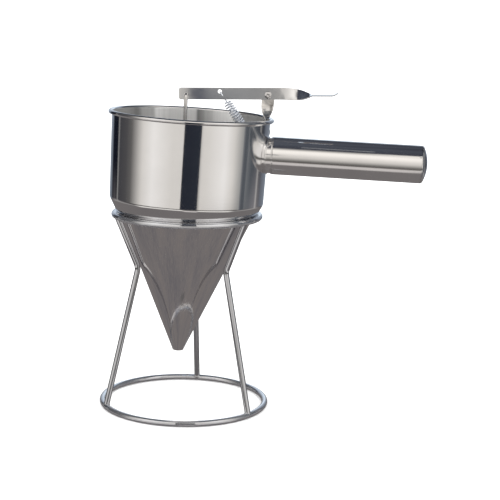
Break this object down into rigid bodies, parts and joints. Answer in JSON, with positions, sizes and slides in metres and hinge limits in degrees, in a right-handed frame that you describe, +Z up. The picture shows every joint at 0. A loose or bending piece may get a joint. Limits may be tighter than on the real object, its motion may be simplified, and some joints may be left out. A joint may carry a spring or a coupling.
{
  "type": "pancake batter dispenser",
  "caption": "Hand-held stainless batter funnel with a side handle, thumb lever, sprung valve rod and a free-standing wire stand.",
  "frame": {"origin": "on the stand's axis, on the plane that the base ring stands on", "axes": "+Z up, +X along the handle, away from the cup"},
  "size_m": [0.3268, 0.174, 0.3282],
  "materials": {
    "chrome_wire": "bright plated wire",
    "polished_sheet": "mirror polished stainless sheet",
    "satin_sheet": "satin stainless sheet",
    "polished_tube": "polished stainless tube",
    "bright_strip": "polished stainless strip",
    "rivet_steel": "bright steel",
    "spring_wire": "drawn spring wire",
    "rod_steel": "polished stainless rod",
    "plug_steel": "turned stainless"
  },
  "bodies": {
    "stand": {"stand_base_ring": "chrome_wire", "stand_top_ring": "chrome_wire", "stand_leg_left": "chrome_wire", "stand_leg_right": "chrome_wire", "stand_leg_back": "chrome_wire"},
    "hopper": {"hopper_cup": "polished_sheet", "hopper_cone": "satin_sheet", "handle_ferrule": "polished_sheet", "handle_tube": "polished_tube", "handle_end_cap": "polished_tube", "lever_bracket": "bright_strip", "bracket_rivet": "rivet_steel", "spring_anchor": "bright_strip", "pivot_rivet": "rivet_steel", "pivot_washer": "rivet_steel", "return_spring": "spring_wire"},
    "lever": {"lever": "bright_strip"},
    "valve": {"valve_rod": "rod_steel", "rod_clip": "spring_wire", "valve_plug": "plug_steel"}
  },
  "joints": [
    {"name": "hopper_lift", "type": "slide", "parent": "stand", "child": "hopper", "axis": [0, 0, 1], "range_m": [0, 0.165]},
    {"name": "lever_pivot", "type": "hinge", "parent": "hopper", "child": "lever", "pos_m": [0.07862, 0.0039, 0.31999], "axis": [0, 1, 0], "range_deg": [0, 12], "stiffness_Nm_per_rad": 0.6, "springref_deg": -20.05, "deforming": ["return_spring"]},
    {"name": "rod_link", "type": "hinge", "parent": "lever", "child": "valve", "pos_m": [-0.00347, 0.0039, 0.31859], "axis": [0, 1, 0], "range_deg": [-12, 0]}
  ],
  "couplings": [
    {"joint": "rod_link", "follows": "lever_pivot", "ratio": -1}
  ]
}
